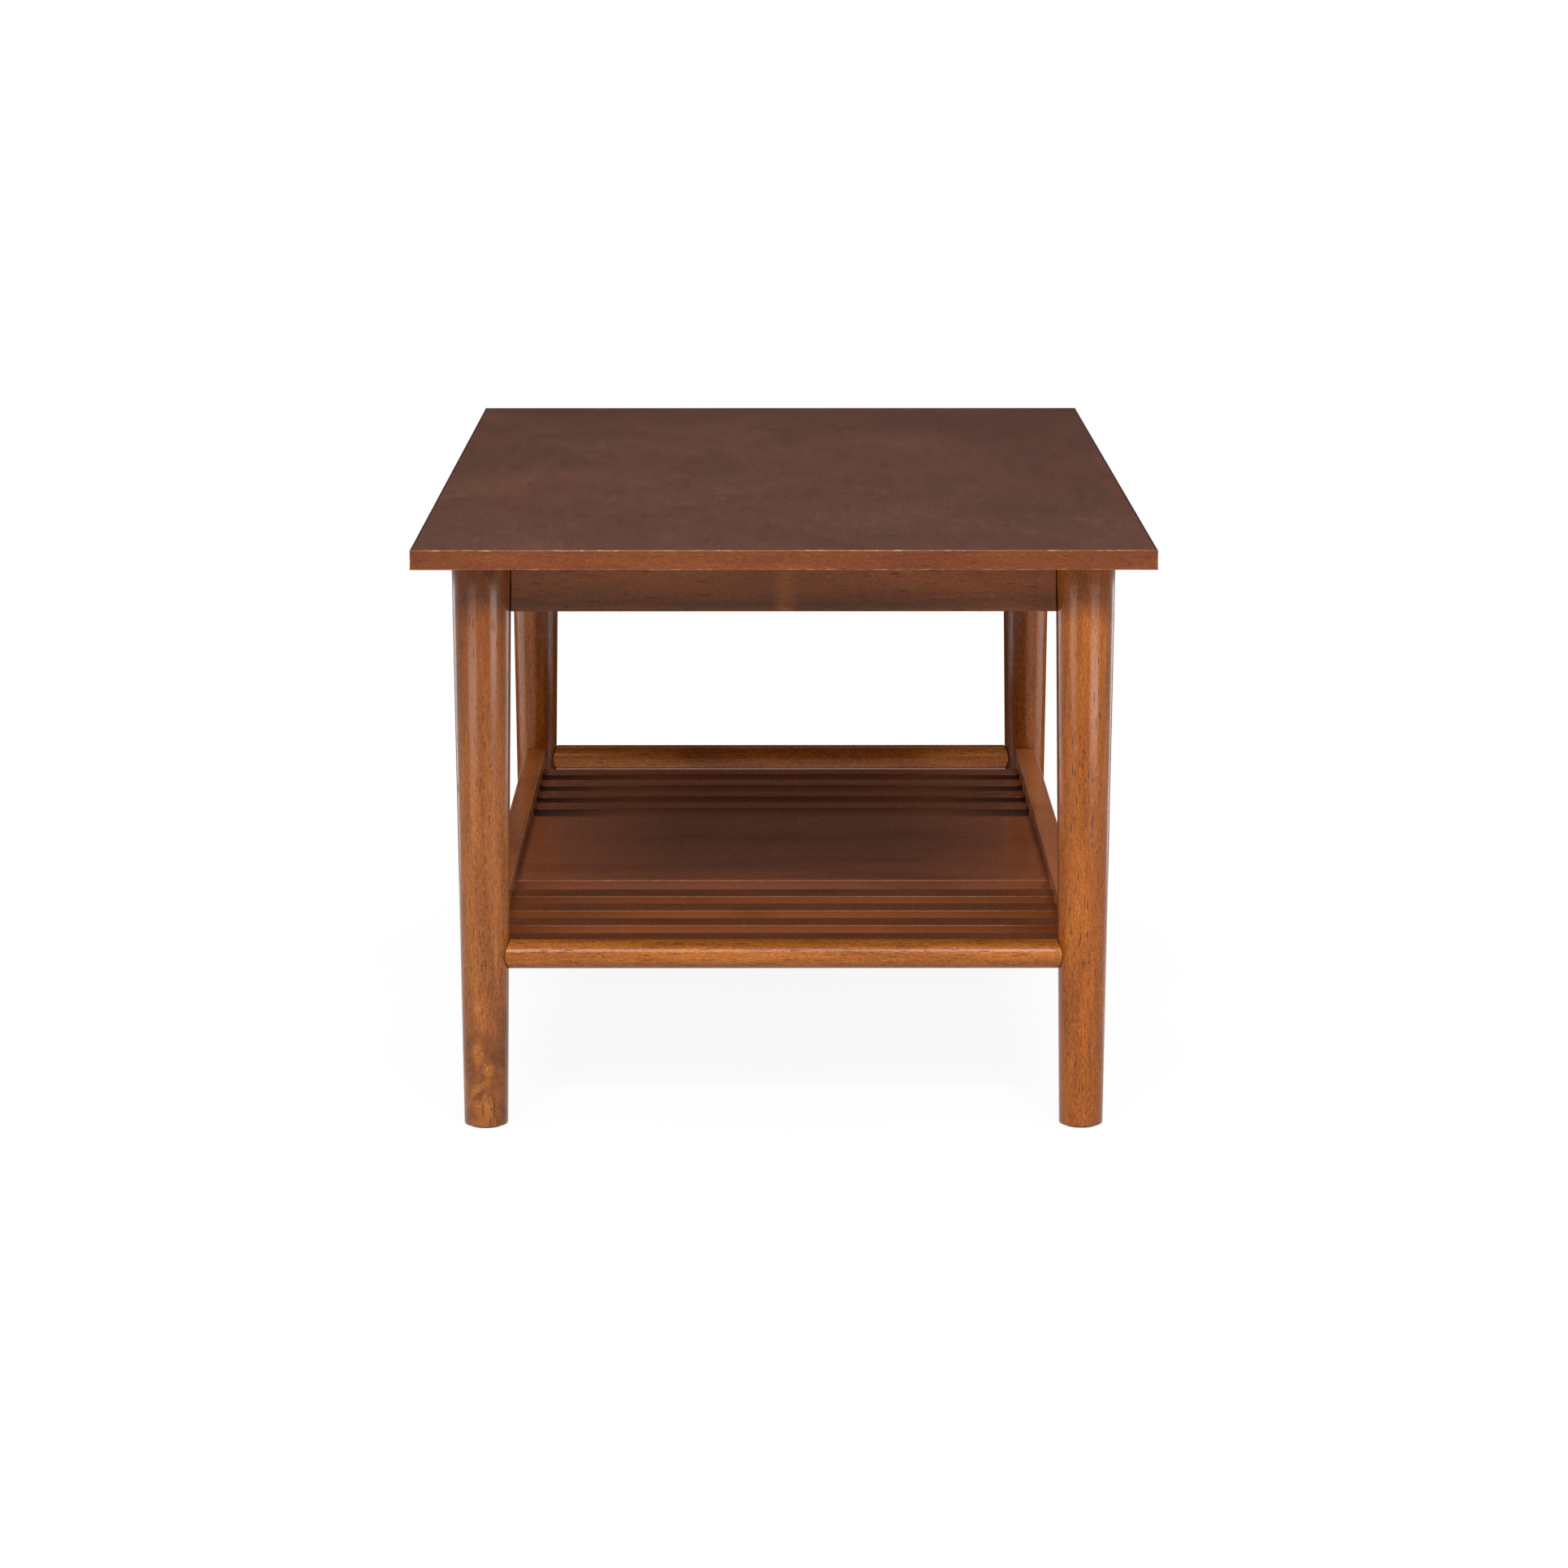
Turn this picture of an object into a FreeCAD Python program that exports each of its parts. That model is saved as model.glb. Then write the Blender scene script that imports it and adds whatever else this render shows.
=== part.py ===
import FreeCAD, Part
import math
import os

from FreeCAD import Placement, Rotation, Vector

# Coffee table with four turned legs and a slatted lower shelf, in millimetres.
# X runs across the table, Y along its length and Z up from the floor.
# Front is the end at -Y and left is the side at -X.

# Overall sizes
top_length = 1118.0
top_width = 559.0
table_height = 457.0
top_thickness = 15.0

# Layers of the table top
veneer_thickness = 0.6
edge_band_thickness = 2.0
edge_band_arris = 0.8

# Legs, turned with a straight taper
leg_side_inset = 49.5
leg_end_inset = 79.0
leg_top_diameter = 45.5
leg_foot_diameter = 33.8
leg_foot_chamfer = 1.2

# Felt glides stuck under the feet
glide_thickness = 1.5
glide_diameter = 24.0

# Aprons under the top
apron_height = 41.0
apron_thickness = 16.0
apron_proud = 5.0
apron_arris = 1.0
apron_tenon_thickness = 8.0
apron_tenon_height = 18.0
apron_tenon_length = 12.0
apron_tenon_shoulder = 4.0

# Shelf frame
shelf_height = 133.3
end_rail_height = 134.7
end_rail_diameter = 22.5
end_tenon_diameter = 14.0
end_tenon_length = 12.0
side_rail_thickness = 18.0
side_rail_rise = 11.9
side_rail_drop = 11.5
side_rail_arris = 1.5
side_tenon_thickness = 10.0
side_tenon_length = 9.0
side_tenon_shoulder = 6.0

# Shelf boards
slats_per_end = 4
slat_width = 31.0
slat_thickness = 12.0
slat_gap = 32.0
panel_gap = 41.5
slat_end_margin = 61.5
slat_arris = 1.0
tongue_thickness = 8.0
housing_depth = 8.0

# Corner blocks and their hanger bolts
block_thickness = 22.0
block_height = 38.0
block_leg_gap = 4.0
block_corner_reach = 10.0
bolt_diameter = 8.0
bolt_below_top = 29.0
bolt_leg_depth = 25.0
bolt_past_nut = 4.0
bolt_hole_diameter = 9.0
washer_diameter = 20.0
washer_thickness = 1.6
nut_across_flats = 13.0
nut_height = 6.5

# Screws
screw_diameter = 4.0
screw_head_diameter = 8.0
screw_head_height = 3.0
counterbore_diameter = 9.0
top_screw_length = 35.0
top_screw_bite = 11.0
block_screw_edge = 6.6

# Clearances
cope_clearance = 0.3
joint_clearance = 0.1
glue_space = 0.5
housing_clearance = 0.15

# Places worked out from the sizes above
leg_x = top_width / 2 - leg_side_inset
leg_y = top_length / 2 - leg_end_inset
underside = table_height - top_thickness
apron_bottom = underside - apron_height
bolt_height = underside - bolt_below_top
apron_offset = apron_thickness / 2 - apron_proud
apron_inner = apron_thickness - apron_proud
slat_bottom = shelf_height - slat_thickness
side_rail_top = shelf_height + side_rail_rise
side_rail_bottom = slat_bottom - side_rail_drop
side_rail_inner = leg_x - side_rail_thickness / 2
slat_half_length = side_rail_inner + housing_depth
slat_run = slats_per_end * slat_width + (slats_per_end - 1) * slat_gap
panel_half_length = leg_y - slat_end_margin - slat_run - panel_gap
first_slat = panel_half_length + panel_gap + slat_width / 2
slat_centres = [first_slat + i * (slat_width + slat_gap) for i in range(slats_per_end)]

# Directions at the front left corner, which the other corners mirror
origin = Vector(0, 0, 0)
across = Vector(1, 0, 0)
along = Vector(0, 1, 0)
up = Vector(0, 0, 1)
diagonal = Vector(1, 1, 0).normalize()
leg_axis = Vector(-leg_x, -leg_y, 0)
corners = {
    "front_left": (False, False),
    "front_right": (True, False),
    "back_left": (False, True),
    "back_right": (True, True),
}


# Helpers for solids

def box(x_span, y_span, z_span):
    corner = Vector(x_span[0], y_span[0], z_span[0])
    return Part.makeBox(x_span[1] - x_span[0], y_span[1] - y_span[0], z_span[1] - z_span[0], corner)


def rod(start, direction, length, diameter):
    return Part.makeCylinder(diameter / 2, length, start, direction)


def turned(profile, start, direction):
    """Solid of revolution from (radius, height) corners, standing on start along direction."""
    corner_points = [Vector(radius, 0, height) for radius, height in profile]
    face = Part.Face(Part.makePolygon(corner_points + corner_points[:1]))
    solid = face.revolve(origin, up, 360)
    solid.Placement = Placement(start, Rotation(up, direction))
    return solid


def edges_along(solid, direction):
    """Straight edges of a solid that run along a direction."""
    straight = [edge for edge in solid.Edges if isinstance(edge.Curve, Part.Line)]
    return [edge for edge in straight if abs(edge.tangentAt(edge.FirstParameter).dot(direction)) > 0.999]


def eased(solid, direction, width):
    """The solid with its edges along a direction taken off by a small bevel."""
    return solid.makeChamfer(width, edges_along(solid, direction))


def carved(solid, cutters):
    return solid.cut(cutters).Solids[0]


def joined(solid, additions):
    return solid.fuse(additions).removeSplitter().Solids[0]


def to_right(shape):
    return shape.mirror(origin, across)


def to_back(shape):
    return shape.mirror(origin, along)


def at_corner(shape, right, back):
    """Copy of a front left shape at another corner."""
    shape = to_right(shape) if right else shape
    return to_back(shape) if back else shape


def at_all_corners(shapes):
    return [at_corner(shape, *corner) for corner in corners.values() for shape in shapes]


def with_right(shapes):
    return shapes + [to_right(shape) for shape in shapes]


def with_back(shapes):
    return shapes + [to_back(shape) for shape in shapes]


def save(name, shape):
    shape.exportStep(os.path.join("parts", name + ".step"))


# Legs as cutters, pins and screws

def leg_radius(z):
    share = (z - glide_thickness) / (underside - glide_thickness)
    return (leg_foot_diameter + share * (leg_top_diameter - leg_foot_diameter)) / 2


def leg_cutter():
    """Tapered leg with its cope clearance, which shapes the ends of what meets the leg."""
    foot = leg_foot_diameter / 2 + cope_clearance
    top = leg_top_diameter / 2 + cope_clearance
    start = leg_axis + up * glide_thickness
    return Part.makeCone(foot, top, underside - glide_thickness, start, up)


def pin_start(run, z, depth):
    """Point that lies depth below the leg's surface, from which a pin runs outwards."""
    return leg_axis + up * z + run * (leg_radius(z) - depth)


def pin_bore(start, direction, length, diameter):
    """Hole for a pin, with room round it and past both its ends."""
    bore_start = start - direction * glue_space
    return rod(bore_start, direction, length + 2 * glue_space, diameter + 2 * joint_clearance)


def screw(seat, direction, length):
    """Wood screw whose flat-bottomed head bears on seat."""
    head = screw_head_diameter / 2
    shank = screw_diameter / 2
    profile = [(0, -screw_head_height), (head, -screw_head_height), (head, 0), (shank, 0)]
    profile += [(shank, length), (0, length)]
    return turned(profile, seat, direction)


def screw_hole(seat, direction, length, counterbore_depth):
    bore = counterbore_diameter / 2
    shank = screw_diameter / 2 + joint_clearance
    end = length + glue_space
    profile = [(0, -counterbore_depth), (bore, -counterbore_depth), (bore, 0), (shank, 0)]
    profile += [(shank, end), (0, end)]
    return turned(profile, seat, direction)


# Joints of the front left corner

def apron_tenon(clearance, spare):
    """Tenon of the front apron in the leg, or its mortise when given a clearance."""
    half = apron_tenon_thickness / 2 + clearance
    middle = -leg_y + apron_offset
    high = underside - apron_tenon_shoulder + clearance
    low = underside - apron_tenon_shoulder - apron_tenon_height - clearance
    x_surface = -leg_x + leg_radius(low)
    x_span = (x_surface - apron_tenon_length - spare, x_surface + apron_tenon_length)
    return box(x_span, (middle - half, middle + half), (low, high))


def side_tenon(clearance, spare):
    """Tenon of the left side rail in the front leg, or its mortise when given a clearance."""
    half = side_tenon_thickness / 2 + clearance
    low = side_rail_bottom + side_tenon_shoulder - clearance
    high = side_rail_top - side_tenon_shoulder + clearance
    y_surface = -leg_y + leg_radius(low)
    y_span = (y_surface - side_tenon_length - spare, y_surface + side_tenon_length)
    return box((-leg_x - half, -leg_x + half), y_span, (low, high))


def end_tenon_start():
    return pin_start(across, end_rail_height, end_tenon_length)


def block_start_distance():
    """Distance along the diagonal to the corner block, clear of the leg and of the aprons' corner."""
    past_leg = leg_radius(bolt_height) + block_leg_gap
    past_aprons = math.sqrt(2) * apron_inner + block_corner_reach
    return max(past_leg, past_aprons)


def block_face_distance():
    """Distance along the diagonal from the leg axis to the inner face of the corner block."""
    return block_start_distance() + block_thickness


def on_diagonal(distance):
    return leg_axis + up * bolt_height + diagonal * distance


def bolt_start():
    return pin_start(diagonal, bolt_height, bolt_leg_depth)


def bolt_length():
    past_face = washer_thickness + nut_height + bolt_past_nut
    return bolt_leg_depth - leg_radius(bolt_height) + block_face_distance() + past_face


def bolt_hole():
    """Clear way for the bolt through the corner block and past the ends of the aprons."""
    return rod(on_diagonal(0), diagonal, block_face_distance() + block_thickness, bolt_hole_diameter)


# Screws up into the top, through the corner blocks and the middle of the side aprons

def top_screw_seat_height():
    return underside + top_screw_bite - top_screw_length


def block_screw_seat():
    middle_sum = math.sqrt(2) * (block_face_distance() - block_thickness / 2)
    from_end_apron = apron_inner + block_screw_edge
    in_plan = leg_axis + across * (middle_sum - from_end_apron) + along * from_end_apron
    return in_plan + up * top_screw_seat_height()


def apron_screw_seat():
    return Vector(-leg_x + apron_offset, 0, top_screw_seat_height())


def top_screw_hole(seat):
    return screw_hole(seat, up, top_screw_length, apron_height)


def all_top_screw_holes():
    in_blocks = at_all_corners([top_screw_hole(block_screw_seat())])
    in_aprons = with_right([top_screw_hole(apron_screw_seat())])
    return in_blocks + in_aprons


# Table top

def top_span(thickness_from, thickness_to):
    """Sheet inside the edge bands, between two heights."""
    half_width = top_width / 2 - edge_band_thickness
    half_length = top_length / 2 - edge_band_thickness
    return box((-half_width, half_width), (-half_length, half_length), (thickness_from, thickness_to))


def top_veneer():
    return top_span(table_height - veneer_thickness, table_height)


def backing_veneer():
    sheet = top_span(underside, underside + veneer_thickness)
    return carved(sheet, all_top_screw_holes())


def top_core():
    board = top_span(underside + veneer_thickness, table_height - veneer_thickness)
    return carved(board, all_top_screw_holes())


def end_band():
    """Lipping across the front end, over the ends of the side bands."""
    outer = -top_length / 2
    half_width = top_width / 2
    strip = box((-half_width, half_width), (outer, outer + edge_band_thickness), (underside, table_height))
    outer_edges = [edge for edge in strip.Edges if abs(edge.CenterOfMass.y - outer) < edge_band_arris]
    return strip.makeFillet(edge_band_arris, outer_edges)


def side_band():
    """Lipping along the left side, between the end bands."""
    outer = -top_width / 2
    half_length = top_length / 2 - edge_band_thickness
    strip = box((outer, outer + edge_band_thickness), (-half_length, half_length), (underside, table_height))
    outer_edges = [edge for edge in edges_along(strip, along)
                   if abs(edge.CenterOfMass.x - outer) < edge_band_arris]
    return strip.makeFillet(edge_band_arris, outer_edges)


# Legs and feet

def leg():
    """Turned and tapered leg with the bores and mortises for everything that joins it."""
    foot = leg_foot_diameter / 2
    top = leg_top_diameter / 2
    length = underside - glide_thickness
    profile = [(0, 0), (foot - leg_foot_chamfer, 0), (foot, leg_foot_chamfer), (top, length), (0, length)]
    blank = turned(profile, leg_axis + up * glide_thickness, up)
    mortises = [apron_tenon(joint_clearance, glue_space), side_tenon(joint_clearance, glue_space)]
    rail_bore = pin_bore(end_tenon_start(), across, end_tenon_length, end_tenon_diameter)
    bolt_bore = pin_bore(bolt_start(), diagonal, bolt_length(), bolt_diameter)
    return carved(blank, mortises + [rail_bore, bolt_bore])


def foot_glide():
    return rod(leg_axis, up, glide_thickness, glide_diameter)


# Aprons

def apron_board(x_span, y_span, run):
    """Board on edge under the top, with its lower edges rounded over."""
    board = box(x_span, y_span, (apron_bottom, underside))
    long_edges = edges_along(board, run)
    lower_edges = [edge for edge in long_edges if edge.CenterOfMass.z < apron_bottom + apron_arris]
    return board.makeFillet(apron_arris, lower_edges)


def end_apron():
    """Front apron, coped and tenoned to both legs."""
    outer = -leg_y - apron_proud
    board = apron_board((-leg_x, leg_x), (outer, outer + apron_thickness), across)
    board = carved(board, with_right([leg_cutter(), bolt_hole()]))
    return joined(board, with_right([apron_tenon(0, 0)]))


def side_apron():
    """Left apron, coped to both legs and held to them by the corner blocks."""
    outer = -leg_x - apron_proud
    board = apron_board((outer, outer + apron_thickness), (-leg_y, leg_y), along)
    return carved(board, with_back([leg_cutter(), bolt_hole()]) + [top_screw_hole(apron_screw_seat())])


# Corner blocks and bolts

def corner_block():
    """Block across the corner behind a leg, glued to both aprons."""
    inner_sum = block_face_distance() * math.sqrt(2)
    outer_sum = block_start_distance() * math.sqrt(2)
    near = apron_inner
    outer_far = outer_sum - near
    inner_far = inner_sum - near
    plan = [(near, outer_far), (outer_far, near), (inner_far, near), (near, inner_far)]
    base = leg_axis + up * (underside - block_height)
    points = [base + across * u + along * v for u, v in plan]
    block = Part.Face(Part.makePolygon(points + points[:1])).extrude(up * block_height)
    return carved(block, [bolt_hole(), top_screw_hole(block_screw_seat())])


def hanger_bolt():
    return rod(bolt_start(), diagonal, bolt_length(), bolt_diameter)


def bolt_washer():
    start = on_diagonal(block_face_distance())
    disc = rod(start, diagonal, washer_thickness, washer_diameter)
    return carved(disc, [rod(start, diagonal, washer_thickness, bolt_diameter + 2 * joint_clearance)])


def bolt_nut():
    corner_radius = nut_across_flats / math.sqrt(3)
    corner_angles = [math.radians(60 * i) for i in range(6)]
    points = [Vector(corner_radius * math.cos(a), corner_radius * math.sin(a), 0) for a in corner_angles]
    hexagon = Part.Face(Part.makePolygon(points + points[:1])).extrude(up * nut_height)
    nut = carved(hexagon, [rod(origin, up, nut_height, bolt_diameter + 2 * joint_clearance)])
    nut.Placement = Placement(on_diagonal(block_face_distance() + washer_thickness), Rotation(up, diagonal))
    return nut


# Shelf

def end_rail():
    """Round front rail, coped to the legs, with a turned tenon at each end."""
    start = Vector(-leg_x, -leg_y, end_rail_height)
    bar = rod(start, across, 2 * leg_x, end_rail_diameter)
    bar = carved(bar, with_right([leg_cutter()]))
    root = end_rail_diameter / 2
    tenon = rod(end_tenon_start(), across, end_tenon_length + root, end_tenon_diameter)
    return joined(bar, with_right([tenon]))


def side_rail():
    """Left board of the shelf frame, coped and tenoned to the legs and housed for the shelf boards."""
    half = side_rail_thickness / 2
    board = box((-leg_x - half, -leg_x + half), (-leg_y, leg_y), (side_rail_bottom, side_rail_top))
    board = eased(board, along, side_rail_arris)
    board = carved(board, with_back([leg_cutter()]))
    board = joined(board, with_back([side_tenon(0, 0)]))
    housings = [shelf_tongue(centre, width, housing_clearance) for centre, width in shelf_layout()]
    return carved(board, housings)


def shelf_layout():
    """Centre and width along the table of the panel and of every slat."""
    slats = [(side * centre, slat_width) for centre in slat_centres for side in (-1, 1)]
    return [(0, 2 * panel_half_length)] + slats


def shelf_tongue(centre, width, clearance):
    """Tongue from end to end of a shelf board, or its housings when given a clearance."""
    x_half = slat_half_length + clearance
    y_half = width / 2 + clearance
    z_middle = (slat_bottom + shelf_height) / 2
    z_half = tongue_thickness / 2 + clearance
    return box((-x_half, x_half), (centre - y_half, centre + y_half), (z_middle - z_half, z_middle + z_half))


def shelf_board(centre, width):
    """Slat or panel that fits between the side rails, with a tongue at each end in their housings."""
    x_half = side_rail_inner - housing_clearance
    y_span = (centre - width / 2, centre + width / 2)
    board = box((-x_half, x_half), y_span, (slat_bottom, shelf_height))
    return joined(eased(board, across, slat_arris), [shelf_tongue(centre, width, 0)])


# Every piece by its name

def single_pieces():
    pieces = {
        "top_core": top_core(),
        "top_veneer": top_veneer(),
        "backing_veneer": backing_veneer(),
        "end_band_front": end_band(),
        "end_band_back": to_back(end_band()),
        "side_band_left": side_band(),
        "side_band_right": to_right(side_band()),
        "end_apron_front": end_apron(),
        "end_apron_back": to_back(end_apron()),
        "side_apron_left": side_apron(),
        "side_apron_right": to_right(side_apron()),
        "end_rail_front": end_rail(),
        "end_rail_back": to_back(end_rail()),
        "side_rail_left": side_rail(),
        "side_rail_right": to_right(side_rail()),
        "shelf_panel": shelf_board(0, 2 * panel_half_length),
    }
    for name, corner in corners.items():
        pieces["leg_" + name] = at_corner(leg(), *corner)
        pieces["corner_block_" + name] = at_corner(corner_block(), *corner)
    for number, centre in enumerate(slat_centres, start=1):
        pieces["slat_front_%d" % number] = shelf_board(-centre, slat_width)
        pieces["slat_back_%d" % number] = shelf_board(centre, slat_width)
    return pieces


def grouped_pieces():
    block_screw = screw(block_screw_seat(), up, top_screw_length)
    apron_screw = screw(apron_screw_seat(), up, top_screw_length)
    return {
        "hanger_bolts": at_all_corners([hanger_bolt()]),
        "bolt_washers": at_all_corners([bolt_washer()]),
        "bolt_nuts": at_all_corners([bolt_nut()]),
        "top_screws": at_all_corners([block_screw]) + with_right([apron_screw]),
        "foot_glides": at_all_corners([foot_glide()]),
    }


os.makedirs("parts", exist_ok=True)
for piece_name, piece in single_pieces().items():
    save(piece_name, piece)
for group_name, solids in grouped_pieces().items():
    save(group_name, Part.makeCompound(solids))
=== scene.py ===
# Looks of a coffee table with turned legs, flat aprons and a slatted shelf, in metres.
# X runs across the table, Y along its length away from the front end, and Z up from the floor.

import math

import bmesh
import bpy
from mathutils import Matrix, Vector


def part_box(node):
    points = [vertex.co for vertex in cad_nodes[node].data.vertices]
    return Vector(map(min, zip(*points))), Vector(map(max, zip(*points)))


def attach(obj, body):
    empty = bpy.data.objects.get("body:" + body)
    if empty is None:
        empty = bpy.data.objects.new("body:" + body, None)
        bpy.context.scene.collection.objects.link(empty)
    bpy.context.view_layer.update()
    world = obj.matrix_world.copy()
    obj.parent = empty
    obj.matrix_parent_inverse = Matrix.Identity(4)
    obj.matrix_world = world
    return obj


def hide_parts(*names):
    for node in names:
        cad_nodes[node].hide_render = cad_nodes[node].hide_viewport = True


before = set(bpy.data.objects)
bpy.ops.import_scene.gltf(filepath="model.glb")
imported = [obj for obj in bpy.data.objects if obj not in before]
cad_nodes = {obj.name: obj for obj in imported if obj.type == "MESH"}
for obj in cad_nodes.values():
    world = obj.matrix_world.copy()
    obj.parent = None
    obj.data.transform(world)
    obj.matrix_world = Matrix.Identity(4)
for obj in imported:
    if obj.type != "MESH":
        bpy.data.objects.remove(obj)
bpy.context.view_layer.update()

ends = {"front": -1, "back": 1}
sides = {"left": -1, "right": 1}
slat_numbers = (1, 2, 3, 4)

# Places read from the frame
leg_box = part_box("leg_front_left")
leg_x = -(leg_box[0].x + leg_box[1].x) / 2
leg_y = -(leg_box[0].y + leg_box[1].y) / 2
leg_bottom = leg_box[0].z
underside = leg_box[1].z
leg_top_radius = (leg_box[1].x - leg_box[0].x) / 2
side_rail_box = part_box("side_rail_left")
side_rail_half = (side_rail_box[1].x - side_rail_box[0].x) / 2
end_apron_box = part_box("end_apron_front")
apron_bottom = end_apron_box[0].z
end_rail_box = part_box("end_rail_front")
end_rail_radius = (end_rail_box[1].y - end_rail_box[0].y) / 2
end_rail_height = (end_rail_box[0].z + end_rail_box[1].z) / 2
panel_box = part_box("shelf_panel")
top_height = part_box("side_band_left")[1].z
slat_boxes = [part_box("slat_back_%d" % number) for number in slat_numbers]
slat_centres = [(low.y + high.y) / 2 for low, high in slat_boxes]
slat_width = slat_boxes[0][1].y - slat_boxes[0][0].y
slat_thickness = slat_boxes[0][1].z - slat_boxes[0][0].z

# Sizes of the finished shapes
leg_foot_radius = 0.0169
leg_foot_round = 0.0015
apron_arris = 0.0010
apron_upper_arris = 0.0002
side_rail_arris = 0.0015
slat_arris = 0.0010
band_arris = 0.0008
apron_joint_gap = 0.0008
rail_joint_gap = 0.0008
shelf_joint_gap = 0.0002

# Fineness of the meshes
leg_sides = 96
leg_rings = 64
round_rail_sides = 72
arris_steps = 4
flat_steps = 10
end_ring = 0.0004
flat_normal = 0.995
same_place = 1e-6

# Stain, lacquer and painted light
lacquer_shine = 0.28
dull_run = 0.020
dull_rise = 0.4
stain_tone = (150, 118, 110)
pale_arris_tone = (206, 160, 120)
board_shift = (3.1, 2.3, 1.7)
painted_edge_light_from = 0.12
painted_edge_light_to = 0.215
slat_seeds = {"front": 36, "back": 4}
panel_seed = 11


# Node helpers

def srgb(red, green, blue):
    """Linear colour from the 0 to 255 values seen on a screen."""
    def linear(value):
        share = value / 255
        return share / 12.92 if share <= 0.04045 else ((share + 0.055) / 1.055) ** 2.4
    return (linear(red), linear(green), linear(blue), 1.0)


def add(tree, kind, sockets=None, **settings):
    """New node whose sockets are set to values or linked to other sockets."""
    made = tree.nodes.new(kind)
    for key, value in settings.items():
        setattr(made, key, value)
    for key, value in (sockets or {}).items():
        if isinstance(value, bpy.types.NodeSocket):
            tree.links.new(value, made.inputs[key])
        else:
            made.inputs[key].default_value = value
    return made


def maths(tree, operation, first, second=0.0):
    return add(tree, "ShaderNodeMath", {0: first, 1: second}, operation=operation).outputs[0]


def weighted(tree, *terms):
    """Sum of (socket, weight) terms."""
    total = 0.0
    for socket, weight in terms:
        sockets = {0: socket, 1: weight, 2: total}
        total = add(tree, "ShaderNodeMath", sockets, operation="MULTIPLY_ADD").outputs[0]
    return total


def stretched(tree, value, gain):
    """Spreads a value that lies round one half wider about one half."""
    return weighted(tree, (value, gain), (1.0, 0.5 - gain / 2))


def between(tree, value, low, high, to_low=0.0, to_high=1.0, step="SMOOTHSTEP"):
    """Smooth step of a value from one range to another."""
    sockets = {"Value": value, 1: low, 2: high, 3: to_low, 4: to_high}
    return add(tree, "ShaderNodeMapRange", sockets, interpolation_type=step).outputs[0]


def blended(tree, factor, first, second):
    """Number that goes from the first to the second as the factor goes from 0 to 1."""
    return add(tree, "ShaderNodeMix", {0: factor, 2: first, 3: second}).outputs[0]


def mixed(tree, factor, colour, shade, mode="MIX"):
    """Colour mixed with a shade, which is given as 0 to 255 values."""
    sockets = {0: factor, 6: colour, 7: srgb(*shade)}
    return add(tree, "ShaderNodeMix", sockets, data_type="RGBA", blend_type=mode).outputs[2]


def ramp(tree, factor, shades):
    """Shades, given as 0 to 255 values, spread evenly from factor 0 to factor 1."""
    made = add(tree, "ShaderNodeValToRGB", {0: factor})
    elements = made.color_ramp.elements
    while len(elements) < len(shades):
        elements.new(0.5)
    for place, shade in enumerate(shades):
        elements[place].position = place / (len(shades) - 1)
        elements[place].color = srgb(*shade)
    return made.outputs[0]


def vector_maths(tree, operation, first, second):
    return add(tree, "ShaderNodeVectorMath", {0: first, 1: second}, operation=operation).outputs[0]


def scaled(tree, vector, share):
    """Colour or place times a number."""
    return add(tree, "ShaderNodeVectorMath", {0: vector, 3: share}, operation="SCALE").outputs[0]


def axis_part(tree, place, axis):
    """X, Y or Z part of a place."""
    return add(tree, "ShaderNodeSeparateXYZ", {0: place}).outputs["XYZ".index(axis)]


def combined(tree, x, y, z):
    return add(tree, "ShaderNodeCombineXYZ", {0: x, 1: y, 2: z}).outputs[0]


def object_place(tree):
    return add(tree, "ShaderNodeTexCoord").outputs["Object"]


def attribute(tree, name):
    return add(tree, "ShaderNodeAttribute", attribute_name=name).outputs["Fac"]


def scaled_place(tree, place, scale, shift=(0, 0, 0)):
    sockets = {"Vector": place, "Scale": scale, "Location": shift}
    return add(tree, "ShaderNodeMapping", sockets).outputs[0]


def along_grain(tree, place, grain, share, shift=(0, 0, 0)):
    """Place for a pattern that is drawn out along the grain, which runs along X, Y or Z."""
    return scaled_place(tree, place, tuple(share if axis == grain else 1.0 for axis in "XYZ"), shift)


def noise(tree, place, scale, detail=3.0, roughness=0.55, distortion=0.0):
    sockets = {"Vector": place, "Scale": scale, "Detail": detail, "Roughness": roughness,
               "Distortion": distortion}
    return add(tree, "ShaderNodeTexNoise", sockets).outputs[0]


def grain_noise(tree, place, grain, share, scale, **kind):
    """Noise drawn out along the grain."""
    return noise(tree, along_grain(tree, place, grain, share), scale, **kind)


def cell_marks(tree, place, scale, channel, share, reach):
    """Small soft marks in a share of the cells of a pattern, picked by one channel of the cells' colour."""
    cells = add(tree, "ShaderNodeTexVoronoi", {"Vector": place, "Scale": scale})
    pick = add(tree, "ShaderNodeSeparateColor", {0: cells.outputs["Color"]}).outputs[channel]
    mark = between(tree, cells.outputs["Distance"], 0.10, reach, 1.0, 0.0)
    return maths(tree, "MULTIPLY", mark, maths(tree, "LESS_THAN", pick, share))


def spot_field(tree, place, centre, radii, tilt=0.0, ragged=0.0):
    """One inside an ellipsoid and nothing outside it, with a soft and, where asked, ragged edge.

    The tilt, in degrees, lifts the right-hand end of the ellipsoid seen from the front.
    """
    away = vector_maths(tree, "SUBTRACT", place, centre)
    away = add(tree, "ShaderNodeVectorRotate", {"Vector": away, "Angle": math.radians(tilt)},
               rotation_type="Y_AXIS").outputs[0]
    away = scaled_place(tree, away, tuple(1 / radius for radius in radii))
    distance = add(tree, "ShaderNodeVectorMath", {0: away}, operation="LENGTH").outputs["Value"]
    if ragged:
        rough = noise(tree, place, 210.0, detail=4.0)
        distance = weighted(tree, (distance, 1.0), (rough, ragged), (1.0, -ragged / 2))
    return between(tree, distance, 0.3, 1.1, 1.0, 0.0)


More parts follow.
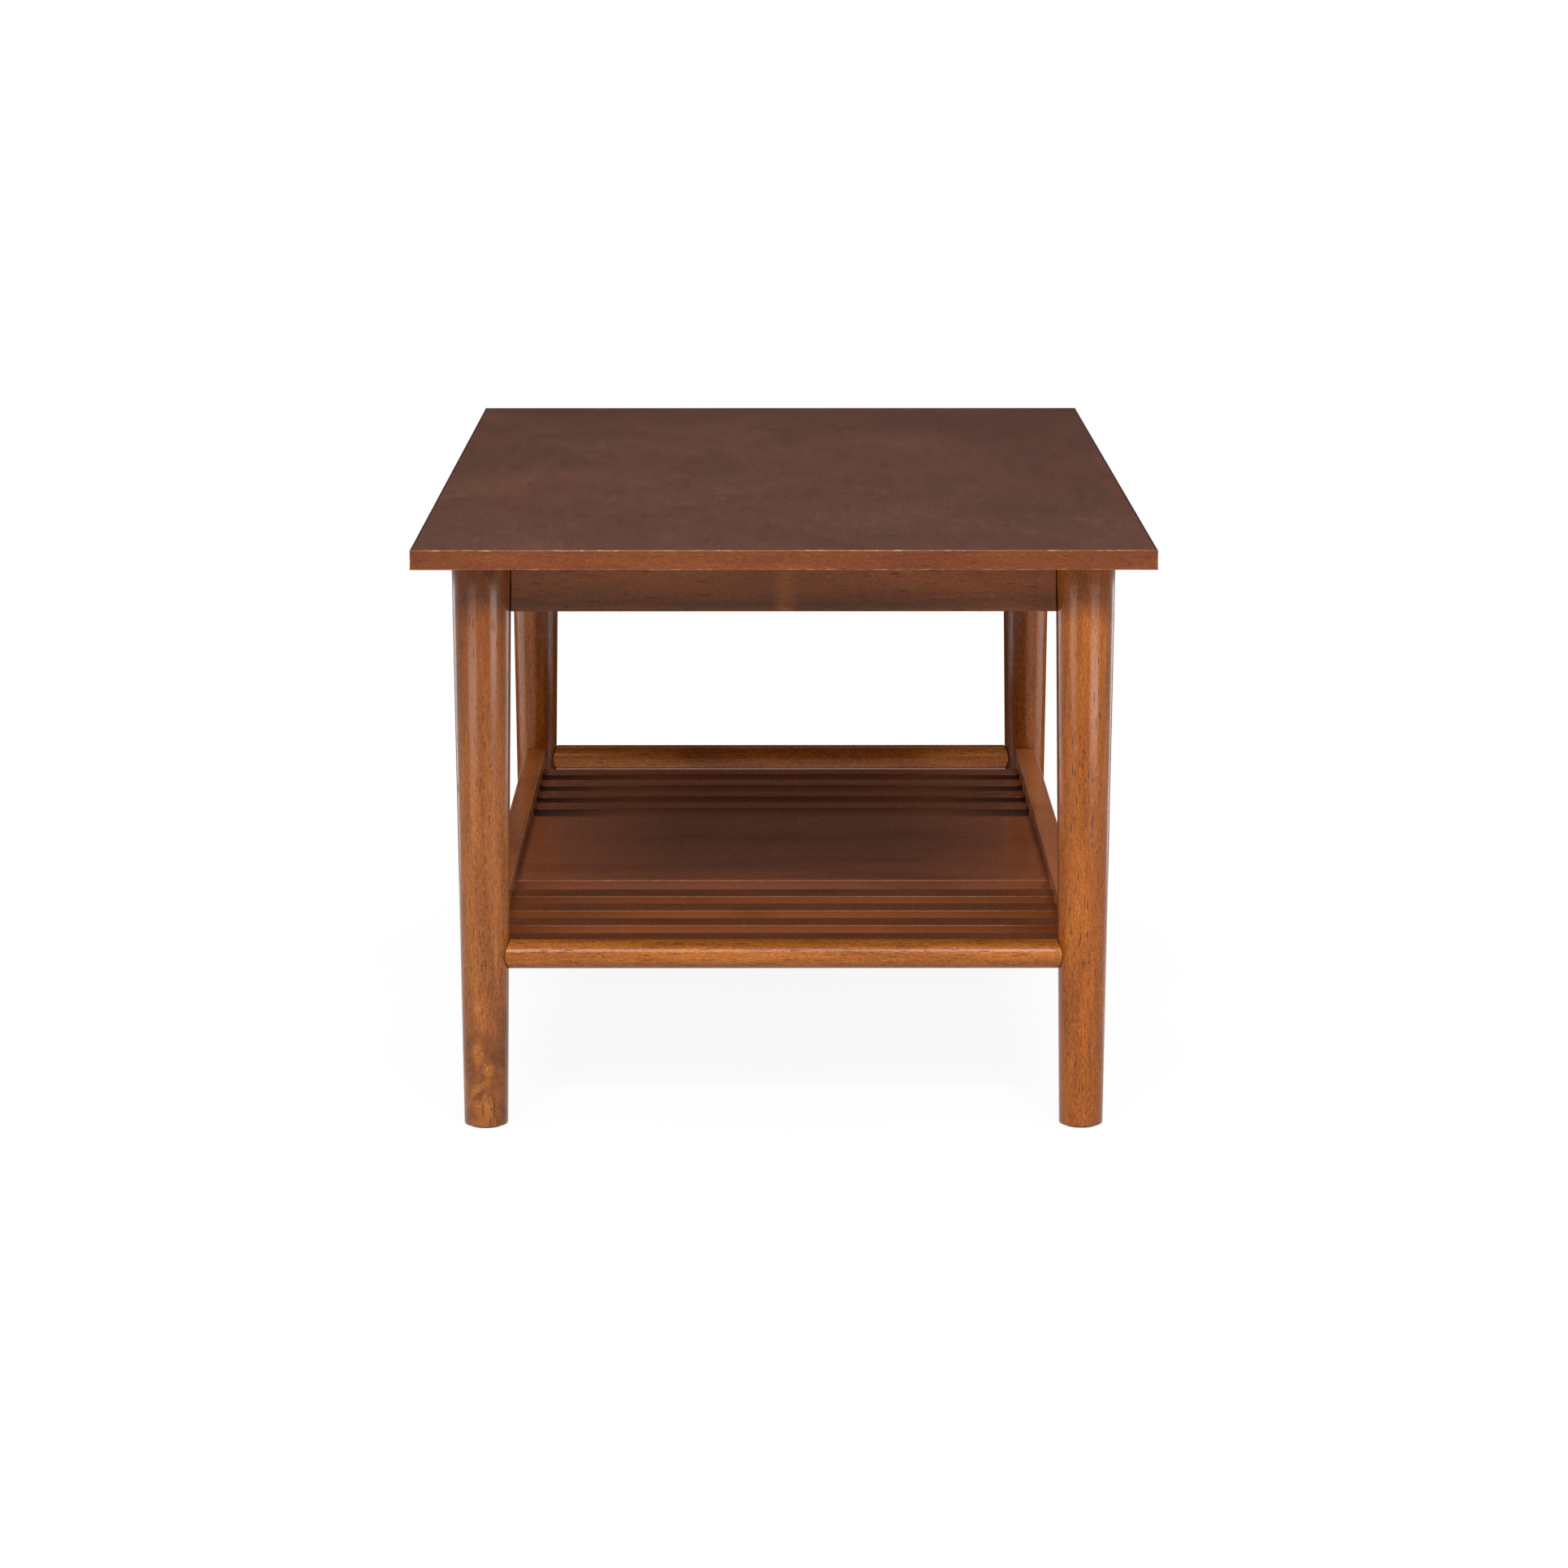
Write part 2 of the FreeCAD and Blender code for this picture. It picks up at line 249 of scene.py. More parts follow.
def new_material(name):
    material = bpy.data.materials.new(name)
    material.use_nodes = True
    return material, material.node_tree, material.node_tree.nodes["Principled BSDF"]


def lay_on(tree, shader, colour, height, relief, depth):
    """Gives a finish its colour, and a relief of the given strength and depth."""
    tree.links.new(colour, shader.inputs["Base Color"])
    bump = add(tree, "ShaderNodeBump", {"Strength": relief, "Distance": depth, "Height": height})
    tree.links.new(bump.outputs[0], shader.inputs["Normal"])


# Wood, metal and felt

def stained_wood(name, grain, tones, contrast=1.0, figure=60.0, pores=0.5, blotch=0.35, roughness=0.25,
                 wear_and_glint=0.0, arris_tone=pale_arris_tone, relief=0.3, burl=None, pale_band=None, shades=(), spots=(),
                 dull_from=None, painted_edge_light=None):
    """Stained and lacquered wood: figure, fibres and pores along the grain, stain, and wear and painted
    glints on arrises.

    Shades darken or lighten the wood along an axis, most as painted light and shade; spots are single
    marks in it. Above the height dull_from, under the overhang of the top, the lacquer is dull. The painted
    edge light is painted light and shade on a board's long upright edges, at its middle and at its ends.
    """
    material, tree, shader = new_material(name)
    spot_place = object_place(tree)
    board = attribute(tree, "board")
    place = vector_maths(tree, "ADD", spot_place, scaled(tree, board_shift, board))
    broad = grain_noise(tree, place, grain, 0.10, figure, detail=2.0, roughness=0.5, distortion=0.8)
    streak = grain_noise(tree, place, grain, 0.07, 420.0, detail=2.0, roughness=0.5, distortion=0.5)
    fleck = grain_noise(tree, place, grain, 0.20, 1250.0, detail=2.0, roughness=0.6)
    speckle = noise(tree, place, 700.0, detail=2.0, roughness=0.6)
    tone = weighted(tree, (broad, 0.27), (streak, 0.13), (fleck, 0.38), (speckle, 0.22))
    tone = stretched(tree, tone, 3.0 * contrast)
    if burl:
        near = spot_field(tree, spot_place, burl["centre"], burl["radii"])
        cloudy = grain_noise(tree, place, "Z", 0.7, 60.0, detail=4.0, roughness=0.55, distortion=1.0)
        cloudy = weighted(tree, (cloudy, 0.5), (speckle, 0.28), (fleck, 0.22))
        tone = blended(tree, near, tone, stretched(tree, cloudy, 2.8))
    tone = weighted(tree, (tone, 1.0), (board, 0.22), (1.0, -0.11))
    colour = ramp(tree, tone, tones)

    stain = grain_noise(tree, place, grain, 0.35, 16.0, detail=3.0, roughness=0.55, distortion=0.5)
    colour = mixed(tree, between(tree, stain, 0.48, 0.72, 0.0, blotch), colour, stain_tone, "MULTIPLY")
    for axis, from_middle, low, high, low_shade, high_shade in shades:
        along = axis_part(tree, spot_place, axis)
        along = maths(tree, "ABSOLUTE", along) if from_middle else along
        colour = scaled(tree, colour, between(tree, along, low, high, low_shade, high_shade))
    # Painted light and shade on the boards' long upright edges, from the middle of the table to its ends.
    if painted_edge_light:
        along = maths(tree, "ABSOLUTE", axis_part(tree, spot_place, "X"))
        light = between(tree, along, painted_edge_light_from, painted_edge_light_to, *painted_edge_light)
        colour = scaled(tree, colour, blended(tree, attribute(tree, "edge"), 1.0, light))
    for mode, shade, strength, centre, radii, tilt in spots:
        mark = spot_field(tree, spot_place, centre, radii, tilt, ragged=0.9)
        grit = between(tree, speckle, 0.42, 0.60, strength * 0.15, strength)
        colour = mixed(tree, maths(tree, "MULTIPLY", mark, grit), colour, shade, mode)

    crowd = grain_noise(tree, place, grain, 0.2, 90.0, detail=2.0)
    crowd = between(tree, crowd, 0.38, 0.62, 0.3 * pores, 1.5 * pores)
    pore = cell_marks(tree, along_grain(tree, place, grain, 0.085), 560.0, channel=0, share=crowd, reach=0.28)
    pore_tone = [part * 0.45 for part in tones[0]]
    colour = mixed(tree, maths(tree, "MULTIPLY", pore, 0.85), colour, pore_tone)
    if pale_band:
        away = maths(tree, "SUBTRACT", axis_part(tree, spot_place, "X"), pale_band["x"])
        away = maths(tree, "ABSOLUTE", away)
        pale = between(tree, away, 0.0, pale_band["half_width"], pale_band["strength"], 0.0)
        colour = mixed(tree, maths(tree, "MULTIPLY", pale, fleck), colour, tones[-1])
    # Marks on the rounded arrises in the arris tone: wear, and painted glints on the slats, panel and side
    # rails.
    if wear_and_glint:
        patchy = grain_noise(tree, place, grain, 0.25, 420.0, detail=3.0, roughness=0.7)
        patchy = between(tree, patchy, 0.48, 0.72, 0.14, 1.0)
        wear_and_glint_marks = maths(tree, "MULTIPLY", attribute(tree, "arris"), patchy)
        colour = mixed(tree, maths(tree, "MULTIPLY", wear_and_glint_marks, wear_and_glint), colour, arris_tone)

    gloss = weighted(tree, (fleck, 0.12), (streak, 0.06), (pore, 0.12), (1.0, roughness - 0.09))
    if dull_from:
        up = axis_part(tree, spot_place, "Z")
        dull = between(tree, up, dull_from, dull_from + dull_run, 0.0, dull_rise)
        gloss = maths(tree, "ADD", gloss, dull)
    tree.links.new(gloss, shader.inputs["Roughness"])
    shader.inputs["Specular IOR Level"].default_value = lacquer_shine
    lay_on(tree, shader, colour, weighted(tree, (fleck, 0.4), (pore, -1.0)), relief, depth=0.00025)
    return material


def top_veneer_wood():
    """Close-grained dark veneer with cloudy stain, fine fibres and small reddish flecks."""
    material, tree, shader = new_material("dark_top_veneer")
    place = object_place(tree)
    cloud = grain_noise(tree, place, "Y", 0.5, 7.0, detail=4.0, roughness=0.55, distortion=0.6)
    mottle = grain_noise(tree, place, "Y", 0.22, 95.0, detail=4.0, roughness=0.62, distortion=0.5)
    fibre = grain_noise(tree, place, "Y", 0.05, 620.0, detail=3.0, roughness=0.6)
    grit = grain_noise(tree, place, "Y", 0.13, 420.0, detail=3.0, roughness=0.7)
    tone = weighted(tree, (cloud, 0.32), (mottle, 0.20), (fibre, 0.14), (grit, 0.34))
    colour = ramp(tree, stretched(tree, tone, 3.8), [(73, 42, 31), (88, 53, 38), (108, 66, 46)])
    far_end = between(tree, axis_part(tree, place, "Y"), 0.1, 0.56, 1.0, 0.86)
    colour = scaled(tree, colour, far_end)
    red = noise(tree, along_grain(tree, place, "Y", 0.4, shift=(4.0, 0.0, 0.0)), 9.0, detail=3.0)
    red = maths(tree, "MULTIPLY", between(tree, red, 0.45, 0.7), 0.18)
    colour = mixed(tree, red, colour, (112, 54, 38))
    speck = cell_marks(tree, along_grain(tree, place, "Y", 0.4), 130.0, channel=1, share=0.16, reach=0.32)
    colour = mixed(tree, maths(tree, "MULTIPLY", speck, 0.42), colour, (142, 72, 44))
    gloss = weighted(tree, (mottle, 0.10), (fibre, 0.10), (1.0, 0.42))
    tree.links.new(gloss, shader.inputs["Roughness"])
    shader.inputs["Specular IOR Level"].default_value = lacquer_shine
    lay_on(tree, shader, colour, fibre, relief=0.12, depth=0.0002)
    return material


def raw_wood(name, grain, tones):
    """Unfinished wood or board, dull and fibrous."""
    material, tree, shader = new_material(name)
    place = object_place(tree)
    streak = grain_noise(tree, place, grain, 0.08, 160.0, detail=4.0, roughness=0.6, distortion=0.5)
    fibre = grain_noise(tree, place, grain, 0.05, 900.0, detail=2.0)
    colour = ramp(tree, weighted(tree, (streak, 0.7), (fibre, 0.3)), tones)
    tree.links.new(weighted(tree, (fibre, 0.2), (1.0, 0.66)), shader.inputs["Roughness"])
    lay_on(tree, shader, colour, fibre, relief=0.3, depth=0.0003)
    return material


def zinc_plate():
    """Zinc plated steel with a faint patchy bloom."""
    material, tree, shader = new_material("zinc_plated_steel")
    bloom = noise(tree, object_place(tree), 260.0, detail=4.0, roughness=0.6, distortion=0.4)
    colour = ramp(tree, bloom, [(150, 152, 156), (188, 190, 192), (206, 204, 196)])
    tree.links.new(colour, shader.inputs["Base Color"])
    tree.links.new(between(tree, bloom, 0.3, 0.7, 0.26, 0.44), shader.inputs["Roughness"])
    shader.inputs["Metallic"].default_value = 1.0
    return material


def pressed_felt():
    material, tree, shader = new_material("pressed_felt")
    fluff = noise(tree, object_place(tree), 1500.0, detail=4.0, roughness=0.7, distortion=1.2)
    colour = ramp(tree, fluff, [(38, 32, 28), (62, 54, 48), (86, 76, 68)])
    shader.inputs["Roughness"].default_value = 0.95
    shader.inputs["Sheen Weight"].default_value = 0.3
    lay_on(tree, shader, colour, fluff, relief=0.6, depth=0.0004)
    return material


# Finishes of the pieces, with their painted light and shade

def shade_along(axis, low, high, low_shade, high_shade, from_middle=False):
    """Step in lightness along an axis, or outwards on it from the middle of the table."""
    return (axis, from_middle, low, high, low_shade, high_shade)


def on_burl_leg(x, z, radius):
    """Place on the front of the left front leg, from the leg's axis and the floor."""
    return (x - leg_x, -leg_y - radius, z)


def foot_mark(mode, strength, x, z, width, height, tilt=0.0):
    """Dark stain or golden patch on the burled foot."""
    shade = (104, 78, 86) if mode == "MULTIPLY" else (200, 122, 50)
    return (mode, shade, strength, on_burl_leg(x, z, leg_foot_radius), (width, 0.02, height), tilt)


leg_lacquer = {"roughness": 0.18, "dull_from": 0.414}
leg_tones = [(104, 50, 14), (160, 86, 24), (194, 118, 46)]
# Painted light on the legs: lighter towards the foot and just below the top, in the overhang's shade.
painted_foot_light = shade_along("Z", 0.15, 0.36, 1.18, 1.0)
painted_leg_light = [painted_foot_light, shade_along("Z", 0.398, 0.420, 1.0, 1.26)]
leg_wood = stained_wood("orange_leg_wood", "Z", leg_tones, pores=0.6, shades=painted_leg_light, **leg_lacquer)
# The back legs' tones are a darker copy of the front legs' as painted shade, with painted shade on their
# inner sides and painted light on their outer sides.
shaded_back_leg_tones = [(96, 45, 11), (147, 77, 20), (180, 107, 38)]
painted_inner_side_shade = shade_along("X", leg_x - 0.017, leg_x + 0.010, 0.74, 1.24, from_middle=True)
back_leg_wood = stained_wood("shaded_back_leg_wood", "Z", shaded_back_leg_tones, pores=0.6,
                             shades=painted_leg_light + [painted_inner_side_shade], **leg_lacquer)
burl_leg_tones = [(102, 54, 23), (156, 91, 39), (189, 124, 63)]
# Painted light and shade on the left front leg: lighter towards the foot, darker over the upper leg and
# lighter again just below the top.
painted_burl_leg_light_and_shade = [painted_foot_light, shade_along("Z", 0.28, 0.35, 1.0, 0.80),
                   shade_along("Z", 0.398, 0.425, 1.0, 1.34)]
# The first mark is painted shade: a deeper red over the upper leg that takes out the grey sheen there. The
# second is a dark patch at the very top; the rest are stains and golden patches in the burled foot.
burl_leg_marks = [
    ("MIX", (146, 66, 12), 0.55, on_burl_leg(0.0, 0.42, leg_top_radius), (0.07, 0.07, 0.17), 0),
    ("MULTIPLY", (100, 70, 60), 1.0, on_burl_leg(0.0068, 0.441, leg_top_radius), (0.0085, 0.02, 0.016), 0),
    foot_mark("MULTIPLY", 0.6, -0.011, 0.044, 0.006, 0.013),
    foot_mark("MULTIPLY", 0.6, 0.0125, 0.074, 0.006, 0.021),
    foot_mark("MULTIPLY", 0.5, 0.0097, 0.055, 0.008, 0.011),
    foot_mark("MULTIPLY", 0.4, -0.0035, 0.072, 0.011, 0.008),
    foot_mark("MULTIPLY", 0.4, -0.0116, 0.009, 0.006, 0.009),
    foot_mark("MIX", 0.5, -0.003, 0.094, 0.007, 0.011),
    foot_mark("MIX", 0.6, -0.005, 0.060, 0.007, 0.008),
    foot_mark("MIX", 0.8, 0.0024, 0.047, 0.006, 0.007),
    foot_mark("MIX", 0.55, -0.0033, 0.033, 0.015, 0.0035, 45),
    foot_mark("MIX", 0.55, -0.0027, 0.021, 0.009, 0.003, 63),
    foot_mark("MIX", 0.7, 0.0026, 0.0177, 0.0045, 0.012),
    foot_mark("MULTIPLY", 0.8, -0.006, 0.0257, 0.008, 0.0028, 45),
    foot_mark("MULTIPLY", 0.7, -0.0018, 0.0139, 0.0015, 0.007)]
burl_leg_wood = stained_wood(
    "burl_leg_wood", "Z", burl_leg_tones, pores=0.5, blotch=0.4, shades=painted_burl_leg_light_and_shade, spots=burl_leg_marks,
    burl={"centre": on_burl_leg(0.0, 0.030, leg_foot_radius), "radii": (0.05, 0.05, 0.085)}, **leg_lacquer)

rail_tones = [(119, 56, 17), (178, 102, 37), (212, 140, 74)]
# Painted shade on the rails' tops, and painted light on the back rail.
painted_rail_light_and_shade = [shade_along("Z", end_rail_height + 0.003, end_rail_height + 0.010, 1.0, 0.64),
               shade_along("Y", 0.0, 0.4, 1.0, 1.35)]
end_rail_wood = stained_wood("gold_rail_wood", "X", rail_tones, pores=0.8, shades=painted_rail_light_and_shade)
# The right rail's lighter tones are painted light, and the pale marks on the rails' arrises are painted
# glints.
lit_and_shaded_side_rail_tones = {"left": [(139, 73, 32), (159, 88, 40), (173, 101, 49)],
                   "right": [(166, 95, 54), (188, 110, 64), (203, 124, 74)]}
side_rail_woods = {
    side: stained_wood(side + "_rail_wood", "Y", tones, contrast=0.4, pores=0.1, wear_and_glint=0.12, relief=0.06)
    for side, tones in lit_and_shaded_side_rail_tones.items()}

apron_tones = [(130, 69, 33), (165, 92, 44), (194, 115, 58)]
# Painted shade on the aprons' lower part, and painted light on the right half of the end aprons.
painted_apron_shade = [shade_along("Z", apron_bottom + 0.004, apron_bottom + 0.026, 0.50, 0.95)]
painted_end_apron_light_and_shade = painted_apron_shade + [shade_along("X", 0.02, 0.2, 1.0, 1.4)]
end_apron_wood = stained_wood("end_apron_wood", "X", apron_tones, contrast=1.1, pores=0.35,
                              shades=painted_end_apron_light_and_shade,
                              pale_band={"x": 0.0012, "half_width": 0.012, "strength": 0.8})
side_apron_wood = stained_wood("side_apron_wood", "Y", apron_tones, contrast=1.1, pores=0.35,
                               shades=painted_apron_shade)

band_tones = [(92, 42, 16), (121, 62, 26), (142, 82, 40)]
end_band_wood = stained_wood("end_band_wood", "X", band_tones, pores=0.15, blotch=0.5, wear_and_glint=0.75)
side_band_wood = stained_wood("side_band_wood", "Y", band_tones, contrast=0.8, pores=0.15, wear_and_glint=0.8,
                              arris_tone=(74, 42, 31),
                              shades=[shade_along("Z", top_height - 0.0010, top_height - 0.0003, 1.0, 0.4)])

# The two rows are lit and shaded copies of one wood: the front row is darker with painted light on its
# upright edges, and the back row's upright edges have a little painted light at the middle and deep painted
# shade towards the ends. The pale marks on the arrises are painted glints.
lit_and_shaded_slat_tones = {"front": [(90, 43, 18), (110, 57, 25), (128, 72, 33)],
              "back": [(96, 48, 25), (118, 63, 34), (138, 79, 44)]}
slat_painted_edge_light = {"front": (1.28, 1.3), "back": (1.12, 0.3)}
slat_woods = {
    end: stained_wood(end + "_slat_wood", "X", lit_and_shaded_slat_tones[end], contrast=0.25, pores=0.0, wear_and_glint=0.15,
                      relief=0.02, painted_edge_light=slat_painted_edge_light[end])
    for end in ends}
# Painted light on the panel's ends, painted shade on its long upright edges, and painted glints on its
# arrises.
panel_tones = [(107, 54, 29), (130, 71, 40), (150, 88, 52)]
panel_wood = stained_wood("panel_veneer", "X", panel_tones, contrast=0.3, pores=0.0, figure=40.0, wear_and_glint=0.3,
                          relief=0.02, painted_edge_light=(0.86, 0.86),
                          shades=[shade_along("X", 0.08, 0.21, 1.0, 1.2, from_middle=True)])

top_wood = top_veneer_wood()
core_board = raw_wood("core_board", "Y", [(138, 104, 70), (168, 132, 94), (190, 156, 116)])
backing_wood = raw_wood("backing_veneer", "Y", [(92, 56, 36), (114, 72, 46), (134, 88, 58)])
block_wood = raw_wood("raw_block_wood", "X", [(172, 132, 88), (196, 158, 112), (214, 180, 134)])
zinc_steel = zinc_plate()
felt = pressed_felt()


# Geometry Nodes pieces

def in_scene(name, data):
    """New object in the scene with the given mesh, lamp or camera."""
    made = bpy.data.objects.new(name, data)
    bpy.context.scene.collection.objects.link(made)
    return made


def new_tree(name, inputs):
    """Tree with named inputs and one geometry output, and the sockets of its group input and output."""
    tree = bpy.data.node_groups.new(name, "GeometryNodeTree")
    tree.interface.new_socket("Geometry", in_out="OUTPUT", socket_type="NodeSocketGeometry")
    for label, kind in inputs.items():
        tree.interface.new_socket(label, in_out="INPUT", socket_type="NodeSocket" + kind)
    return tree, tree.nodes.new("NodeGroupInput").outputs, tree.nodes.new("NodeGroupOutput").inputs


def named_attribute(tree, geometry, name, value, domain):
    sockets = {"Geometry": geometry, "Name": name, "Value": value}
    return add(tree, "GeometryNodeStoreNamedAttribute", sockets, data_type="FLOAT", domain=domain).outputs[0]


def closed(tree, geometry, result, material):
    """Ends a tree with plain meshes that carry their material."""
    real = add(tree, "GeometryNodeRealizeInstances", {"Geometry": geometry}).outputs[0]
    painted = add(tree, "GeometryNodeSetMaterial", {"Geometry": real, "Material": material}).outputs[0]
    tree.links.new(painted, result[0])


def grown(name, tree, values):
    """Plain mesh piece that a tree makes from the given inputs."""
    host = in_scene(name + "_host", bpy.data.meshes.new(name + "_host"))
    modifier = host.modifiers.new("grown", "NODES")
    modifier.node_group = tree
    for item in tree.interface.items_tree:
        if item.in_out == "INPUT":
            modifier[item.identifier] = values[item.name]
    evaluated = host.evaluated_get(bpy.context.evaluated_depsgraph_get())
    mesh = bpy.data.meshes.new_from_object(evaluated)
    bpy.data.objects.remove(host)
    return in_scene(name, mesh)


def turned_leg_tree(name, material):
    """Straight tapered round leg with a rounded foot edge. Its rings crowd towards its ends."""
    tree, given, result = new_tree(name, {
        "Axis": "Vector", "Bottom": "Float", "Top": "Float", "Foot Radius": "Float", "Top Radius": "Float",
        "Foot Round": "Float", "Sides": "Int", "Rings": "Int"})
    blank = add(tree, "GeometryNodeMeshCylinder", {
        "Vertices": given["Sides"], "Side Segments": given["Rings"], "Radius": 1.0, "Depth": 1.0})
    place = add(tree, "GeometryNodeInputPosition").outputs[0]
    share = between(tree, axis_part(tree, place, "Z"), -0.5, 0.5, step="SMOOTHERSTEP")
    height = maths(tree, "MULTIPLY", share, maths(tree, "SUBTRACT", given["Top"], given["Bottom"]))
    widening = maths(tree, "SUBTRACT", given["Top Radius"], given["Foot Radius"])
    straight = maths(tree, "ADD", maths(tree, "MULTIPLY", share, widening), given["Foot Radius"])
    short = maths(tree, "MAXIMUM", maths(tree, "SUBTRACT", given["Foot Round"], height), 0.0)
    squares = maths(tree, "SUBTRACT", maths(tree, "POWER", given["Foot Round"], 2.0),
                    maths(tree, "POWER", short, 2.0))
    drawn_in = maths(tree, "SUBTRACT", given["Foot Round"], maths(tree, "SQRT", squares))
    radius = maths(tree, "SUBTRACT", straight, drawn_in)
    spot = combined(tree, maths(tree, "MULTIPLY", axis_part(tree, place, "X"), radius),
                    maths(tree, "MULTIPLY", axis_part(tree, place, "Y"), radius),
                    maths(tree, "ADD", height, given["Bottom"]))
    spot = vector_maths(tree, "ADD", spot, given["Axis"])
    sockets = {"Geometry": blank.outputs["Mesh"], "Position": spot}
    shaped = add(tree, "GeometryNodeSetPosition", sockets).outputs[0]
    flat = add(tree, "GeometryNodeSetShadeSmooth", {"Geometry": shaped, "Shade Smooth": False}).outputs[0]
    smooth = add(tree, "GeometryNodeSetShadeSmooth", {"Geometry": flat, "Selection": blank.outputs["Side"]})
    closed(tree, smooth.outputs[0], result, material)
    return tree


def shelf_board_tree(name, material):
    """Row of boards across the shelf with rounded arrises, each with its own number for its tone.

    Faces carry two marks for the finish: arris on the rounded ones and edge on the long upright ones.
    """
    tree, given, result = new_tree(name, {
        "Count": "Int", "First": "Vector", "Step": "Vector", "Width": "Float", "Thickness": "Float",
        "Half Length": "Float", "Arris": "Float", "Seed": "Int"})
    section = add(tree, "GeometryNodeCurvePrimitiveQuadrilateral",
                  {"Width": given["Width"], "Height": given["Thickness"]}).outputs[0]
    section = add(tree, "GeometryNodeFilletCurve",
                  {"Curve": section, "Count": arris_steps, "Radius": given["Arris"]}, mode="POLY").outputs[0]
    line = add(tree, "GeometryNodeCurvePrimitiveLine",
               {"Start": (-1.0, 0.0, 0.0), "End": (1.0, 0.0, 0.0)}).outputs[0]
    run = add(tree, "GeometryNodeResampleCurve", {"Curve": line, "Count": 4}).outputs[0]
    share = axis_part(tree, add(tree, "GeometryNodeInputPosition").outputs[0], "X")
    inner = maths(tree, "LESS_THAN", maths(tree, "ABSOLUTE", share), 0.5)
    reach = maths(tree, "SUBTRACT", given["Half Length"], maths(tree, "MULTIPLY", inner, end_ring))
    spot = combined(tree, maths(tree, "MULTIPLY", maths(tree, "SIGN", share), reach), 0.0, 0.0)
    run = add(tree, "GeometryNodeSetPosition", {"Geometry": run, "Position": spot}).outputs[0]
    board = add(tree, "GeometryNodeCurveToMesh",
                {"Curve": run, "Profile Curve": section, "Fill Caps": True}).outputs[0]
    normal = add(tree, "GeometryNodeInputNormal").outputs["True Normal"]
    normal = add(tree, "ShaderNodeVectorMath", {0: normal}, operation="ABSOLUTE").outputs[0]
    across, upright, level = [axis_part(tree, normal, axis) for axis in "XYZ"]
    squarest = maths(tree, "MAXIMUM", maths(tree, "MAXIMUM", across, upright), level)
    rounded = maths(tree, "LESS_THAN", squarest, flat_normal)
    board = named_attribute(tree, board, "arris", rounded, "FACE")
    board = named_attribute(tree, board, "edge", maths(tree, "GREATER_THAN", upright, flat_normal), "FACE")
    board = add(tree, "GeometryNodeSetShadeSmooth", {"Geometry": board, "Shade Smooth": rounded}).outputs[0]
    line = add(tree, "GeometryNodeMeshLine", {
        "Count": given["Count"], "Start Location": given["First"], "Offset": given["Step"]}).outputs[0]
    boards = add(tree, "GeometryNodeInstanceOnPoints", {"Points": line, "Instance": board}).outputs[0]
    number = add(tree, "FunctionNodeRandomValue", {"Seed": given["Seed"]}).outputs[1]
    boards = named_attribute(tree, boards, "board", number, "INSTANCE")
    closed(tree, boards, result, material)
    return tree


# Bars that fit round the legs, and edge bands

def leg_radius(z):
    share = (z - leg_bottom) / (underside - leg_bottom)
    return leg_foot_radius + share * (leg_top_radius - leg_foot_radius)


def flat_run(start, end):
    """Points between two corners of an outline."""
    shares = [step / flat_steps for step in range(1, flat_steps)]
    return [(start[0] + share * (end[0] - start[0]), start[1] + share * (end[1] - start[1]))
            for share in shares]


def rounded_outline(low, high, arris, upper_arris):
    """Outline of a bar, counter-clockwise from its lower left corner, with its flat sides in short steps."""
    (left, bottom), (right, top) = low, high
    bends = [((left + arris, bottom + arris), arris, 180), ((right - arris, bottom + arris), arris, 270),
             ((right - upper_arris, top - upper_arris), upper_arris, 0),
             ((left + upper_arris, top - upper_arris), upper_arris, 90)]
    points = []
    for centre, radius, first_angle in bends:
        corner = []
        for step in range(arris_steps + 1):
            angle = math.radians(first_angle + 90 * step / arris_steps)
            corner.append((centre[0] + radius * math.cos(angle), centre[1] + radius * math.sin(angle)))
        if points:
            points += flat_run(points[-1], corner[0])
        points += corner
    return points + flat_run(points[-1], points[0])


def round_outline(height, radius):
    angles = [2 * math.pi * step / round_rail_sides for step in range(round_rail_sides)]
    return [(radius * math.cos(angle), height + radius * math.sin(angle)) for angle in angles]


def coped_bar(name, outline, across, side, gap, material):
    """Bar from leg to leg with both ends hollowed to the legs.

    The outline holds (distance outside the leg axis, height) points. A bar across the table lies
    at its front or back end, and any other bar lies along its left or right side.
    """
    axis_run = leg_x if across else leg_y
    axis_side = leg_y if across else leg_x

    def spot(end, inset, offset, z):
        reach = math.sqrt((leg_radius(z) + gap) ** 2 - offset ** 2)
        run = end * (axis_run - reach - inset)
        sideways = side * (axis_side + offset)
        return (run, sideways, z) if across else (sideways, run, z)

    shape = bmesh.new()
    count = len(outline)
    middle_offset = sum(offset for offset, _ in outline) / count
    middle_height = sum(z for _, z in outline) / count
    rings = []
    middles = []
    for end, inset in ((-1, 0.0), (-1, end_ring), (1, end_ring), (1, 0.0)):
        rings.append([shape.verts.new(spot(end, inset, offset, z)) for offset, z in outline])
        if not inset:
            middles.append(shape.verts.new(spot(end, inset, middle_offset, middle_height)))
    for step in range(count):
        following = (step + 1) % count
        for near, far in zip(rings, rings[1:]):
            shape.faces.new((near[step], near[following], far[following], far[step])).smooth = True
        for ring, middle in zip((rings[0], rings[-1]), middles):
            shape.faces.new((ring[step], ring[following], middle))
    return finished_mesh(name, shape, material)


